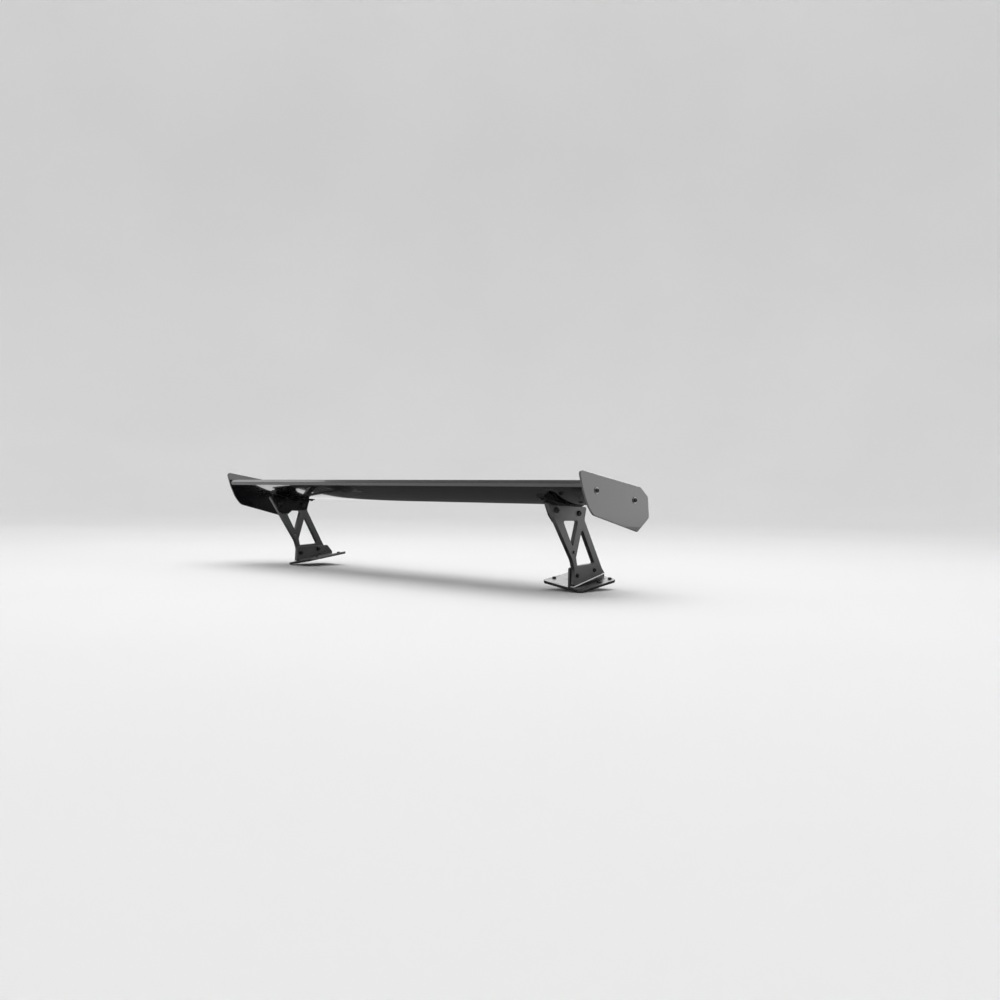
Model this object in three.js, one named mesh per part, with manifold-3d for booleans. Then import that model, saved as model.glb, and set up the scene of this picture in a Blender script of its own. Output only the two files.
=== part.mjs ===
// Racing rear wing with adjustable angle of attack, bolted to a car's boot lid.
// Millimetres. +X is the car's right, +Y its front and +Z up. The origin is at the bottom
// centre of the whole wing's box. Sections in the YZ plane are drawn from the wing's trailing
// edge, just below its top: y runs forward and z up.

import * as THREE from 'three';
import { mergeVertices } from 'three/addons/utils/BufferGeometryUtils.js';
import Module from 'manifold-3d';

const wasm = await Module();
wasm.setup();

// ---------------------------------------------------------------- driving dimensions
const SPAN = 1490; // over the outside faces of the endplates
const GAP = 0.3; // left between pieces that touch
const RIGHT = 1;
const LEFT = -1;

const SKIN = 3; // thickness of the moulded skins
const LIP = 4; // depth of the skins' solid lips along the trailing edge
const NOSE = { y: 246, z: -37 };
const CREST = { y: 215, z: -26 }; // highest point behind the nose, on the top
const LOWEST = { y: 170, z: -58 }; // lowest point of the underside
const TRAILING = { top: 3, split: -5, bottom: -13.5, bulge: 2 }; // blunt trailing edge

const ENDPLATE = 5;
const SPAR = { y: 178, z: -42.2, outer: 10, inner: 8, half: 737, sides: 20 };
const END_RIB = 12;
const MOUNT_RIB = { x: 567, width: 24, rear: 45, front: 225 };

const UPRIGHT = { inner: 584, thickness: 12 };
const BRACKET = { inner: 556, rear: 48, front: 206, flange: 5, blade: 6 };
const FOOT = {
  x: 560.5, y: 218, z: -251.2, // centre of the base plate's top face
  width: 126.5, length: 151.5, plate: 5, corner: 12,
  outward: 8.9, rearward: 7.8, // degrees that the base plate falls, as the boot lid does
  flange: 6, pad: 2, padInset: 1,
  ledge: 3, ledgeOuter: 597.4, // the ledge under the upright's lower edge
};

const PIVOT = { y: 169, z: -79 }; // the wing tilts about this pair of bolts
const ADJUSTER = { y: 82, z: -70 }; // these bolts run in the brackets' arc slots
const TILT = { down: 3, up: 8 }; // degrees of the trailing edge, with the wing at rest at 0
const LOWER_BOLTS = { rear: { y: 165, z: -236 }, front: { y: 234, z: -225 } };
const ENDPLATE_BOLTS = { rear: { y: 49, z: -21.5 }, front: { y: 199, z: -44 } };
const ENDPLATE_BOLT_LENGTH = 18;
const SCREWS = { a: 60, b: 104, c: 148, d: 197 }; // y of each bracket screw
const SCREW_BITE = 10; // length of each bracket screw in its rib
const FOOT_BOLTS = {
  outer_front: [48, 64.6], outer_mid: [48, 20.2], inner_rear: [-53, -38.4], inner_front: [-53, 48.5],
};

// Button-head screws and flange nuts, by thread.
const M6 = { shank: 3, head: 5.25, height: 3.3, socket: 2.3, nut: 5.8, flange: 7, nutHeight: 6 };
const M8 = { shank: 4, head: 7, height: 4.4, socket: 2.9, nut: 7.5, flange: 8.6, nutHeight: 7 };
const WASHER = { outer: 8, thickness: 1.2 };
const SIDES = 12; // of each fastener and of the holes for it
const ARC_STEP = 22.5; // degrees between the points of a rounded corner

// ---------------------------------------------------------------- materials
const standard = (color, roughness, metalness) =>
  new THREE.MeshStandardMaterial({ color, roughness, metalness });
const GLOSS_BLACK = standard(0x0b0c0e, 0.12, 0.0);
const POWDER_BLACK = standard(0x2b2d30, 0.55, 0.2);
const BRACKET_BLACK = standard(0x151618, 0.45, 0.2);
const FASTENER_BLACK = standard(0x141517, 0.4, 0.7);
const ZINC = standard(0x8d9196, 0.35, 0.9);
const ALUMINIUM = standard(0xb4b7ba, 0.35, 1.0);
const NYLON = standard(0x303236, 0.7, 0.0);
const RUBBER = standard(0x171717, 0.85, 0.0);

// ---------------------------------------------------------------- solids
/** A closed geometry as a manifold-3d solid. */
function toSolid(geometry) {
  const bare = geometry.clone();
  bare.deleteAttribute('normal');
  bare.deleteAttribute('uv');
  const merged = mergeVertices(bare, 1e-4);
  const all = merged.index.array;
  const kept = [];
  for (let i = 0; i < all.length; i += 3) {
    const [a, b, c] = [all[i], all[i + 1], all[i + 2]];
    if (a !== b && b !== c && c !== a) kept.push(a, b, c);
  }
  return new wasm.Manifold(new wasm.Mesh({
    numProp: 3,
    vertProperties: new Float32Array(merged.attributes.position.array),
    triVerts: new Uint32Array(kept),
  }));
}

/** A manifold-3d solid as a geometry. */
function toGeometry(solid) {
  const { vertProperties, triVerts } = solid.getMesh();
  const geometry = new THREE.BufferGeometry();
  geometry.setAttribute('position', new THREE.BufferAttribute(vertProperties, 3));
  geometry.setIndex(new THREE.BufferAttribute(triVerts, 1));
  return geometry;
}

/** The same shape on the car's other side. */
function mirrored(geometry) {
  const copy = geometry.clone().scale(-1, 1, 1);
  const index = copy.index.array;
  for (let i = 0; i < index.length; i += 3) {
    [index[i], index[i + 1]] = [index[i + 1], index[i]];
  }
  return copy;
}

/** A right-hand geometry, or its mirror image for the left. */
const sided = (geometry, side) => (side === RIGHT ? geometry : mirrored(geometry));

// ---------------------------------------------------------------- outlines
const point = (y, z) => new THREE.Vector2(y, z);

/** A polygon with round corners. Each corner is [y, z, radius]. */
function rounded(corners, step = ARC_STEP) {
  const outline = [];
  corners.forEach(([y, z, radius], i) => {
    const corner = point(y, z);
    if (!radius) {
      outline.push(corner);
      return;
    }
    const [by, bz] = corners.at(i - 1);
    const [ay, az] = corners[(i + 1) % corners.length];
    const back = point(by, bz).sub(corner).normalize();
    const ahead = point(ay, az).sub(corner).normalize();
    const half = Math.acos(back.dot(ahead)) / 2;
    const centre = back.clone().add(ahead).normalize().multiplyScalar(radius / Math.sin(half))
      .add(corner);
    const start = corner.clone().addScaledVector(back, radius / Math.tan(half)).sub(centre);
    const end = corner.clone().addScaledVector(ahead, radius / Math.tan(half)).sub(centre);
    const turn = Math.atan2(start.cross(end), start.dot(end));
    const steps = Math.max(2, Math.ceil(Math.abs(turn) / THREE.MathUtils.degToRad(step)));
    for (let k = 0; k <= steps; k++) {
      outline.push(start.clone().rotateAround(point(0, 0), (turn * k) / steps).add(centre));
    }
  });
  return outline;
}

/** A circle as a polygon. */
function circle({ y, z }, radius, sides = SIDES) {
  return Array.from({ length: sides }, (_, i) => {
    const a = (2 * Math.PI * i) / sides;
    return point(y + radius * Math.cos(a), z + radius * Math.sin(a));
  });
}

/** A slot of the given half width along an arc about a centre, with round ends. */
function arcSlot(centre, radius, from, to, half) {
  const outline = [];
  const add = (about, r, start, end, steps) => {
    for (let k = 0; k <= steps; k++) {
      const a = start + ((end - start) * k) / steps;
      outline.push(point(about.x + r * Math.cos(a), about.y + r * Math.sin(a)));
    }
  };
  const middle = (a) => point(centre.y + radius * Math.cos(a), centre.z + radius * Math.sin(a));
  const hub = point(centre.y, centre.z);
  add(hub, radius + half, from, to, 5);
  add(middle(to), half, to + 0.15 * Math.PI, to + 0.85 * Math.PI, 5);
  add(hub, radius - half, to, from, 5);
  add(middle(from), half, from + 1.15 * Math.PI, from + 1.85 * Math.PI, 5);
  return outline;
}

/** A plate in the YZ plane, from x = 0 to its thickness. */
function plate(outline, thickness, holes = []) {
  const shape = new THREE.Shape(outline);
  shape.holes = holes.map((hole) => new THREE.Path(hole));
  const geometry = new THREE.ExtrudeGeometry(shape, { depth: thickness, bevelEnabled: false });
  const toYZ = new THREE.Matrix4().makeBasis(
    new THREE.Vector3(0, 1, 0), new THREE.Vector3(0, 0, 1), new THREE.Vector3(1, 0, 0),
  );
  return geometry.applyMatrix4(toYZ);
}

// ---------------------------------------------------------------- wing section
const bezier = (...ends) => new THREE.CubicBezierCurve(...ends.map(([y, z]) => point(y, z)));

/** The top, from the nose back to the trailing edge. */
function topLine() {
  const nose = bezier([NOSE.y, NOSE.z + GAP / 2], [NOSE.y, -30], [236, CREST.z], [CREST.y, CREST.z]);
  const back = bezier([CREST.y, CREST.z], [150, CREST.z - 6], [60, -14], [0, TRAILING.top]);
  return [...nose.getPoints(6), ...back.getPoints(12).slice(1)];
}

/** The underside, from the trailing edge forward to the nose. */
function underLine() {
  const back = bezier([1, TRAILING.bottom], [51, -36.5], [115, LOWEST.z], [LOWEST.y, LOWEST.z]);
  const nose = bezier([LOWEST.y, LOWEST.z], [198, LOWEST.z], [NOSE.y, -51], [NOSE.y, NOSE.z - GAP / 2]);
  return [...back.getPoints(12), ...nose.getPoints(8).slice(1)];
}

/** A line moved to its left by a distance: into the wing for both lines above. */
function moved(line, distance) {
  return line.map((p, i) => {
    if (p.x === NOSE.y) return point(p.x - distance, p.y); // both lines stand upright there
    const along = line[Math.min(i + 1, line.length - 1)].clone().sub(line[Math.max(i - 1, 0)]);
    along.normalize();
    return point(p.x - along.y * distance, p.y + along.x * distance);
  });
}

const TOP = topLine();
const UNDER = underLine();
const inside = (line, depth, rear, front = NOSE.y) =>
  moved(line, depth).filter((p) => p.x >= rear && p.x <= front);

/** The underside's height at y, and its slope. */
function underside(y) {
  const i = UNDER.findIndex((p) => p.x >= y);
  const [a, b] = [UNDER[i - 1], UNDER[i]];
  const t = (y - a.x) / (b.x - a.x);
  const angle = Math.atan2(b.y - a.y, b.x - a.x);
  return { y, z: a.y + (b.y - a.y) * t, angle };
}

function upperSkin() {
  const heel = TRAILING.split + GAP / 2;
  return [
    ...TOP, point(-TRAILING.bulge, heel), point(LIP - TRAILING.bulge, heel),
    ...inside(TOP, SKIN, LIP).reverse(),
  ];
}

function lowerSkin() {
  const heel = TRAILING.split - GAP / 2;
  return [
    point(-TRAILING.bulge, heel), ...UNDER,
    ...inside(UNDER, SKIN, LIP).reverse(), point(LIP - TRAILING.bulge, heel),
  ];
}

/** The hollow between the skins, less the usual gap, between two places along the chord. */
function ribOutline(rear, front) {
  const top = inside(TOP, SKIN + GAP, rear, front);
  const under = inside(UNDER, SKIN + GAP, rear, front);
  return [...top, ...under];
}

// ---------------------------------------------------------------- fasteners
/** A button-head screw along +Y: its seat at 0, its head above and its shank below. */
function screw({ shank, head, height, socket }, length) {
  const profile = [
    [0, -length], [shank, -length], [shank, 0], [head, 0], [head, 0.35 * height],
    [0.6 * head, height], [0, height],
  ].map(([r, y]) => point(r, y));
  const body = toSolid(new THREE.LatheGeometry(profile, SIDES));
  const key = new THREE.CylinderGeometry(socket, socket, height, 6).translate(0, 0.9 * height, 0);
  return toGeometry(body.subtract(toSolid(key)));
}

/** A hexagon flange nut along +Y, its flange's face at 0. */
function flangeNut({ shank, nut, flange, nutHeight }) {
  const rim = 1.6;
  const hexagon = new THREE.CylinderGeometry(nut, nut, nutHeight, 6).translate(0, nutHeight / 2, 0);
  const disc = new THREE.CylinderGeometry(nut, flange, rim, SIDES).translate(0, rim / 2, 0);
  const bore = shank + GAP;
  return toGeometry(toSolid(hexagon).add(toSolid(disc)).subtract(toSolid(drill(bore))));
}

/** A plain washer along +Y, its lower face at 0. */
function washer(hole) {
  const { outer, thickness } = WASHER;
  const profile = [[hole, 0], [outer, 0], [outer, thickness], [hole, thickness], [hole, 0]];
  return new THREE.LatheGeometry(profile.map(([r, y]) => point(r, y)), SIDES);
}

/** A round cutter along +Y, centred on the origin. */
const drill = (radius) => new THREE.CylinderGeometry(radius, radius, 60, SIDES);

// ---------------------------------------------------------------- assembly
const UP = new THREE.Vector3(0, 1, 0); // the direction that turned pieces are made along
const OUTBOARD = { [RIGHT]: new THREE.Vector3(1, 0, 0), [LEFT]: new THREE.Vector3(-1, 0, 0) };
const sideName = { [RIGHT]: 'right', [LEFT]: 'left' };

function piece(name, geometry, material, parent) {
  const mesh = new THREE.Mesh(geometry, material);
  mesh.name = name;
  parent.add(mesh);
  return mesh;
}

/** Places a turned piece at a point with its head's side facing a direction. */
function aim(mesh, x, y, z, direction) {
  mesh.position.set(x, y, z);
  mesh.quaternion.setFromUnitVectors(UP, direction);
}

/** Places a plate that is made from x = 0 up, so that it spans inner to outer on a side. */
function span(mesh, side, inner, thickness) {
  mesh.position.x = side === RIGHT ? inner : -inner - thickness;
}

/** The outward direction of the underside at y. */
function belowAt(y) {
  const { angle } = underside(y);
  return new THREE.Vector3(0, Math.sin(angle), -Math.cos(angle));
}

/** A solid bored along the bracket screws' lines on a side. */
function boredForScrews(geometry, side, radius) {
  let solid = toSolid(geometry);
  for (const y of Object.values(SCREWS)) {
    const cutter = new THREE.Mesh(drill(radius));
    aim(cutter, side * MOUNT_RIB.x, y, underside(y).z, belowAt(y));
    cutter.updateMatrix();
    solid = solid.subtract(toSolid(cutter.geometry.applyMatrix4(cutter.matrix)));
  }
  return toGeometry(solid);
}

// ---------------------------------------------------------------- the wing
const INSIDE_HALF = SPAN / 2 - ENDPLATE - GAP; // half the skins' length

function addSkins(parent) {
  const length = 2 * INSIDE_HALF;
  const centred = (outline) => plate(outline, length).translate(-INSIDE_HALF, 0, 0);
  let lower = centred(lowerSkin());
  for (const side of [RIGHT, LEFT]) lower = boredForScrews(lower, side, M6.shank + GAP);
  piece('wing_upper_skin', centred(upperSkin()), GLOSS_BLACK, parent);
  piece('wing_lower_skin', lower, GLOSS_BLACK, parent);
}

function addSpar(parent) {
  const { outer, inner, half, sides } = SPAR;
  const tube = plate(circle(SPAR, outer, sides), 2 * half, [circle(SPAR, inner, sides)]);
  piece('main_spar', tube, ALUMINIUM, parent).position.x = -half;
}

function addRibs(side, parent) {
  const bore = circle(SPAR, SPAR.outer + GAP, SPAR.sides);
  const bolts = Object.values(ENDPLATE_BOLTS).map((bolt) => circle(bolt, M6.shank + GAP));
  const end = plate(ribOutline(2 * LIP, NOSE.y), END_RIB, [bore, ...bolts]);
  const endRib = piece(`end_rib_${sideName[side]}`, end, NYLON, parent);
  span(endRib, side, INSIDE_HALF - END_RIB, END_RIB);

  const { x, width, rear, front } = MOUNT_RIB;
  const block = plate(ribOutline(rear, front), width, [bore]).translate(x - width / 2, 0, 0);
  const bored = boredForScrews(block, RIGHT, M6.shank + GAP);
  piece(`mount_rib_${sideName[side]}`, sided(bored, side), NYLON, parent);
}

const ENDPLATE_OUTLINE = [
  [-15, 27, 8], [-1, -17, 60], [17, -55, 80], [38, -79, 28], [213, -122, 6], [261, -88, 12],
  [255, -35, 10], [224, -12, 14],
];

function addEndplate(side, parent) {
  const name = sideName[side];
  const holes = Object.values(ENDPLATE_BOLTS).map((bolt) => circle(bolt, M6.shank + GAP));
  const outline = rounded(ENDPLATE_OUTLINE, 12);
  const panel = piece(`endplate_${name}`, plate(outline, ENDPLATE, holes), GLOSS_BLACK, parent);
  span(panel, side, SPAN / 2 - ENDPLATE, ENDPLATE);
  for (const [place, bolt] of Object.entries(ENDPLATE_BOLTS)) {
    const seat = SPAN / 2 + GAP;
    const ring = piece(`endplate_washer_${name}_${place}`, washer(M6.shank + GAP), ZINC, parent);
    aim(ring, side * seat, bolt.y, bolt.z, OUTBOARD[side]);
    const head = piece(`endplate_bolt_${name}_${place}`, screw(M6, ENDPLATE_BOLT_LENGTH),
      FASTENER_BLACK, parent);
    aim(head, side * (seat + WASHER.thickness + GAP), bolt.y, bolt.z, OUTBOARD[side]);
  }
}

// The free edge of a bracket's blade, from front to rear. It hangs lowest under its arc slot.
const BLADE_EDGE = [
  [199, -60, 0], [190, -80, 14], [184, -95, 8], [128, -94, 6], [104, -107, 8], [86, -101, 8],
  [70, -84, 14], [54, -52, 0],
];

/** A saddle under the wing, and a blade that hangs from it beside the upright. */
function bracket() {
  const { inner, rear, front, flange, blade } = BRACKET;
  const bladeInner = UPRIGHT.inner - GAP - blade;
  const width = UPRIGHT.inner - GAP - inner;
  const saddleTop = inside(UNDER, -GAP, rear, front);
  const saddleUnder = inside(UNDER, -GAP - flange, rear, front);
  const saddle = plate([...saddleTop, ...saddleUnder.reverse()], width).translate(inner, 0, 0);

  const rest = Math.atan2(ADJUSTER.z - PIVOT.z, ADJUSTER.y - PIVOT.y);
  const reach = Math.hypot(ADJUSTER.z - PIVOT.z, ADJUSTER.y - PIVOT.y);
  const spare = 0.5; // degrees of slot past each end of the travel
  const from = rest - THREE.MathUtils.degToRad(TILT.down + spare);
  const to = rest + THREE.MathUtils.degToRad(TILT.up + spare);
  const holes = [
    circle(PIVOT, M8.shank + GAP), arcSlot(PIVOT, reach, from, to, M8.shank + GAP),
  ];
  const root = inside(UNDER, -GAP - flange / 2, rear + 6, front - 6);
  const edge = rounded(BLADE_EDGE).reverse();
  const hanging = plate([...root.reverse(), ...edge], blade, holes).translate(bladeInner, 0, 0);
  return boredForScrews(toGeometry(toSolid(saddle).add(toSolid(hanging))), RIGHT, M6.shank + GAP);
}

function addBracket(side, parent) {
  const name = sideName[side];
  piece(`wing_bracket_${name}`, sided(bracket(), side), BRACKET_BLACK, parent);
  const seat = 2 * GAP + BRACKET.flange;
  for (const [letter, y] of Object.entries(SCREWS)) {
    const below = belowAt(y);
    const part = screw(M6, seat + SKIN + SCREW_BITE);
    const mesh = piece(`bracket_screw_${name}_${letter}`, part, FASTENER_BLACK, parent);
    aim(mesh, side * MOUNT_RIB.x, y + seat * below.y, underside(y).z + seat * below.z, below);
  }
}

// ---------------------------------------------------------------- the stand
const UPRIGHT_OUTLINE = [
  [44, -46.5, 3], [73, -90, 40], [107, -140, 60], [146, -197, 60], [154.5, -222, 40],
  [152, -262, 3], [273, -234.5, 4], [234, -168, 90], [192, -96, 14], [200, -63.5, 5],
  [66, -58, 16],
];
const UPPER_OPENING = [[108, -97, 4], [146, -163.5, 3], [166, -98, 4]];
const LOWER_OPENING = [[182.5, -118, 4], [160, -190, 6], [165, -211, 3], [234, -207.5, 3]];
const LIGHTENING_HOLE = { y: 149, z: -177, radius: 4 };

function addUpright(side, parent) {
  const holes = [
    rounded(UPPER_OPENING, 40), rounded(LOWER_OPENING, 40),
    circle(LIGHTENING_HOLE, LIGHTENING_HOLE.radius),
    ...[PIVOT, ADJUSTER].map((hole) => circle(hole, M8.shank + GAP)),
    ...Object.values(LOWER_BOLTS).map((hole) => circle(hole, M6.shank + GAP)),
  ];
  const panel = plate(rounded(UPRIGHT_OUTLINE), UPRIGHT.thickness, holes);
  const mesh = piece(`upright_${sideName[side]}`, panel, POWDER_BLACK, parent);
  span(mesh, side, UPRIGHT.inner, UPRIGHT.thickness);
}

/** A bolt through the upright and the plate inside it, with its nut on the inside. */
function addThroughBolt(name, side, size, { y, z }, plateInside, parent) {
  const seat = UPRIGHT.inner + UPRIGHT.thickness + GAP;
  const nutFace = UPRIGHT.inner - 2 * GAP - plateInside;
  const tail = 2; // of thread past the nut
  const bolt = screw(size, seat - nutFace + size.nutHeight + tail);
  aim(piece(`${name}_bolt_${sideName[side]}`, bolt, FASTENER_BLACK, parent),
    side * seat, y, z, OUTBOARD[side]);
  aim(piece(`${name}_nut_${sideName[side]}`, flangeNut(size), FASTENER_BLACK, parent),
    side * nutFace, y, z, OUTBOARD[-side]);
}

/** The base plate's frame on the right: its centre, tilted as the boot lid is. */
function footMatrix() {
  const { x, y, z, outward, rearward } = FOOT;
  const turn = new THREE.Euler(
    THREE.MathUtils.degToRad(rearward), THREE.MathUtils.degToRad(outward), 0,
  );
  return new THREE.Matrix4().makeRotationFromEuler(turn).setPosition(x, y, z);
}

/** A slab with round corners and the foot bolts' holes, from z = 0 up, in the foot's frame. */
function footSlab(inset, thickness) {
  const [x, y] = [FOOT.width / 2 - inset, FOOT.length / 2 - inset];
  const r = FOOT.corner - inset;
  const shape = new THREE.Shape(rounded([[-x, -y, r], [x, -y, r], [x, y, r], [-x, y, r]]));
  shape.holes = Object.values(FOOT_BOLTS).map(
    ([hx, hy]) => new THREE.Path(circle({ y: hx, z: hy }, M6.shank + GAP)),
  );
  return new THREE.ExtrudeGeometry(shape, { depth: thickness, bevelEnabled: false });
}

/** The base plate, the flange that the upright is bolted to and the ledge it stands on. */
function foot() {
  const matrix = footMatrix();
  const slab = footSlab(0, FOOT.plate).translate(0, 0, -FOOT.plate).applyMatrix4(matrix);
  const outline = rounded([
    [150, -216, 6], [150, -300, 0], [292, -300, 0], [292, -235, 5], [272, -213.5, 8],
  ]);
  const holes = Object.values(LOWER_BOLTS).map((hole) => circle(hole, M6.shank + GAP));
  const inner = UPRIGHT.inner - GAP - FOOT.flange;
  const wall = plate(outline, FOOT.flange, holes).translate(inner, 0, 0);
  const [rear, front] = [UPRIGHT_OUTLINE[5], UPRIGHT_OUTLINE[6]];
  const edge = [rear, front].map(([y, z]) => point(y, z - GAP));
  const under = [front, rear].map(([y, z]) => point(y, z - GAP - FOOT.ledge));
  const ledge = plate([...edge, ...under], FOOT.ledgeOuter - inner).translate(inner, 0, 0);
  const room = 2 * FOOT.length; // more than the flange fills
  const above = new THREE.BoxGeometry(room, room, room)
    .translate(0, 0, room / 2 - FOOT.plate / 2).applyMatrix4(matrix);
  const upstand = toSolid(wall).intersect(toSolid(above)).add(toSolid(ledge));
  return toGeometry(upstand.add(toSolid(slab)));
}

function addFoot(side, parent) {
  const name = sideName[side];
  piece(`foot_${name}`, sided(foot(), side), POWDER_BLACK, parent);

  const frame = new THREE.Group(); // the base plate's own frame, on this side
  const matrix = footMatrix();
  matrix.decompose(frame.position, frame.quaternion, frame.scale);
  if (side === LEFT) {
    frame.position.x *= -1;
    frame.quaternion.y *= -1;
    frame.quaternion.z *= -1;
  }
  parent.add(frame);
  const depth = FOOT.plate + GAP + FOOT.pad;
  const short = 0.5; // between the end of each bolt and the pad's lower face
  const pad = mergeVertices(footSlab(FOOT.padInset, FOOT.pad));
  piece(`foot_pad_${name}`, sided(pad, side), RUBBER, frame).position.z = -depth;
  for (const [place, [x, y]] of Object.entries(FOOT_BOLTS)) {
    const bolt = screw(M6, depth + GAP - short);
    const mesh = piece(`foot_bolt_${name}_${place}`, bolt, FASTENER_BLACK, frame);
    aim(mesh, side * x, y, GAP, new THREE.Vector3(0, 0, 1));
  }
}

// ---------------------------------------------------------------- the whole
const rearWing = new THREE.Group();
rearWing.name = 'racing_rear_wing';
const wing = new THREE.Group(); // everything that tilts about the pivot bolts
const stand = new THREE.Group(); // everything that stays on the boot lid
rearWing.add(wing, stand);

addSkins(wing);
addSpar(wing);
for (const side of [LEFT, RIGHT]) {
  addRibs(side, wing);
  addEndplate(side, wing);
  addBracket(side, wing);
  addUpright(side, stand);
  addThroughBolt('pivot', side, M8, PIVOT, BRACKET.blade, stand);
  addThroughBolt('adjuster', side, M8, ADJUSTER, BRACKET.blade, stand);
  addThroughBolt('lower_rear', side, M6, LOWER_BOLTS.rear, FOOT.flange, stand);
  addThroughBolt('lower_front', side, M6, LOWER_BOLTS.front, FOOT.flange, stand);
  addFoot(side, stand);
}

const box = new THREE.Box3().setFromObject(rearWing, true);
const centre = box.getCenter(new THREE.Vector3());
rearWing.position.set(0, -centre.y, -box.min.z);
rearWing.updateMatrixWorld(true);

export default rearWing;
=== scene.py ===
"""Looks for the racing rear wing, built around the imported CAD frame.

Blender works in metres. Lengths named here are millimetres unless a comment says otherwise, as in
the CAD source, and the helper at() turns them into the row frame. Outlines in the YZ plane are
drawn from the wing's trailing edge, just below its top: y runs forward and z up.
"""

import math

import bmesh
import bpy
from mathutils import Matrix, Vector
from mathutils.geometry import tessellate_polygon


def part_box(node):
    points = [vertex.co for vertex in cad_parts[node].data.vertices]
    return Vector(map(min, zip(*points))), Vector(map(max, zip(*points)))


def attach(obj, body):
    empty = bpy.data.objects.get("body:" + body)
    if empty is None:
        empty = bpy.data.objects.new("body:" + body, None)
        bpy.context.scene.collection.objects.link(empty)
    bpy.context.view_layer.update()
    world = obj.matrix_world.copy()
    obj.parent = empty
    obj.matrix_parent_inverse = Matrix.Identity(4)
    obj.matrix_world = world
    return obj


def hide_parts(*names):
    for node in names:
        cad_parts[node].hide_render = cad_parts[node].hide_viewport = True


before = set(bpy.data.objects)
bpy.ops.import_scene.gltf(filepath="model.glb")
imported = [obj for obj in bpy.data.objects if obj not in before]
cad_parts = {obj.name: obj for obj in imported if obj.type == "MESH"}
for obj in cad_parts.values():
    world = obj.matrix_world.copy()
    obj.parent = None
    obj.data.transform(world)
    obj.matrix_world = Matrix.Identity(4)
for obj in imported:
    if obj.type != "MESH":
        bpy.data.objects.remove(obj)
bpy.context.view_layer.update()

MM = 0.001
RIGHT, LEFT = 1, -1
SIDE_NAME = {RIGHT: "right", LEFT: "left"}

# ------------------------------------------------------------------ driving dimensions
CAMERA_PLACE = (2222.6, -1835.1, -22.8)
CAMERA_TURN = (43.489, -0.552, 0.580)  # yaw, pitch and roll in degrees
SENSOR_WIDTH, FOCAL_LENGTH = 36.0, 36.83
GAP = 0.3  # between pieces that touch
SKIN = 3.0
LIP = 4.0  # depth of the skins' solid lips along the trailing edge
NOSE = (246.0, -37.0)
CREST = (215.0, -26.0)
LOWEST = (170.0, -58.0)
TE_TOP, TE_SPLIT, TE_BOTTOM, TE_BULGE = 3.0, -5.0, -13.5, 2.0  # the blunt trailing edge
BRACKET_REAR, BRACKET_FRONT, BRACKET_FLANGE, BLADE = 48.0, 206.0, 5.0, 6.0
SCREW_PLACES = {"a": 60.0, "b": 104.0, "c": 148.0, "d": 197.0}
SCREW_X, SCREW_BITE = 567.0, 10.0  # the bracket screws, and how far they go past the skin
ENDPLATE_BOLT_LENGTH, WASHER_RADIUS = 18.0, 8.0
FOOT_CENTRE = (560.5, 218.0, -251.2)
FOOT_SIZE = (126.5, 151.5)
FOOT_CORNER, FOOT_PLATE, FOOT_PAD, PAD_INSET = 12.0, 5.0, 2.0, 1.0
FOOT_OUTWARD, FOOT_REARWARD = 8.9, 7.8  # degrees that the base plate falls
FOOT_FLANGE = 6.0  # thickness
FLANGE_REAR, FLANGE_FRONT = 150.0, 292.0
FLANGE_SUNK = 2.5  # how far the flange's outer face goes into the base plate
LEDGE, LEDGE_OUTER = 3.0, 597.4  # thickness and outer end, under each upright's lower edge
BOLT_SHORT = 0.5  # from the end of each foot bolt to the pad's lower face
PIVOT, ADJUSTER = (169.0, -79.0), (82.0, -70.0)
TILT_DOWN, TILT_UP = 3.5, 8.5  # degrees that the arc slot allows
LOWER_REAR, LOWER_FRONT = (165.0, -236.0), (234.0, -225.0)
ENDPLATE_HOLES = {"rear": (49.0, -21.5), "front": (199.0, -44.0)}
FOOT_HOLES = {
    "outer_front": (48.0, 64.6), "outer_mid": (48.0, 20.2),
    "inner_rear": (-53.0, -38.4), "inner_front": (-53.0, 48.5),
}
M6 = {"shank": 3.0, "pitch": 1.0, "head": 5.25, "height": 3.3, "socket": 2.3,
      "nut": 5.8, "flange": 7.0, "nut_height": 6.0}
M8 = {"shank": 4.0, "pitch": 1.25, "head": 7.0, "height": 4.4, "socket": 2.9,
      "nut": 7.5, "flange": 8.6, "nut_height": 7.0}
THREAD, THREAD_TIP, DOME_STEPS = 9.0, 0.6, 8
RIPPLE, RIPPLE_TURN = 0.07, 1.55  # a weld's ripple: its share of the radius, and radians a step

# The point at the trailing edge that the outlines are drawn from, in the row frame.
_skin_low, _skin_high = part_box("wing_upper_skin")
DATUM = Vector((0.0, _skin_low[1] + TE_BULGE * MM, _skin_high[2] - TE_TOP * MM))


def at(x, y, z):
    """A point in millimetres from the datum, in the row frame."""
    return DATUM + Vector((x, y, z)) * MM


def clearance(size):
    """The radius of the hole that a screw of this size passes through."""
    return size["shank"] + GAP


def span(node):
    """A node's lowest and highest x, in millimetres."""
    low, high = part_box(node)
    return low[0] / MM, high[0] / MM


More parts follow.
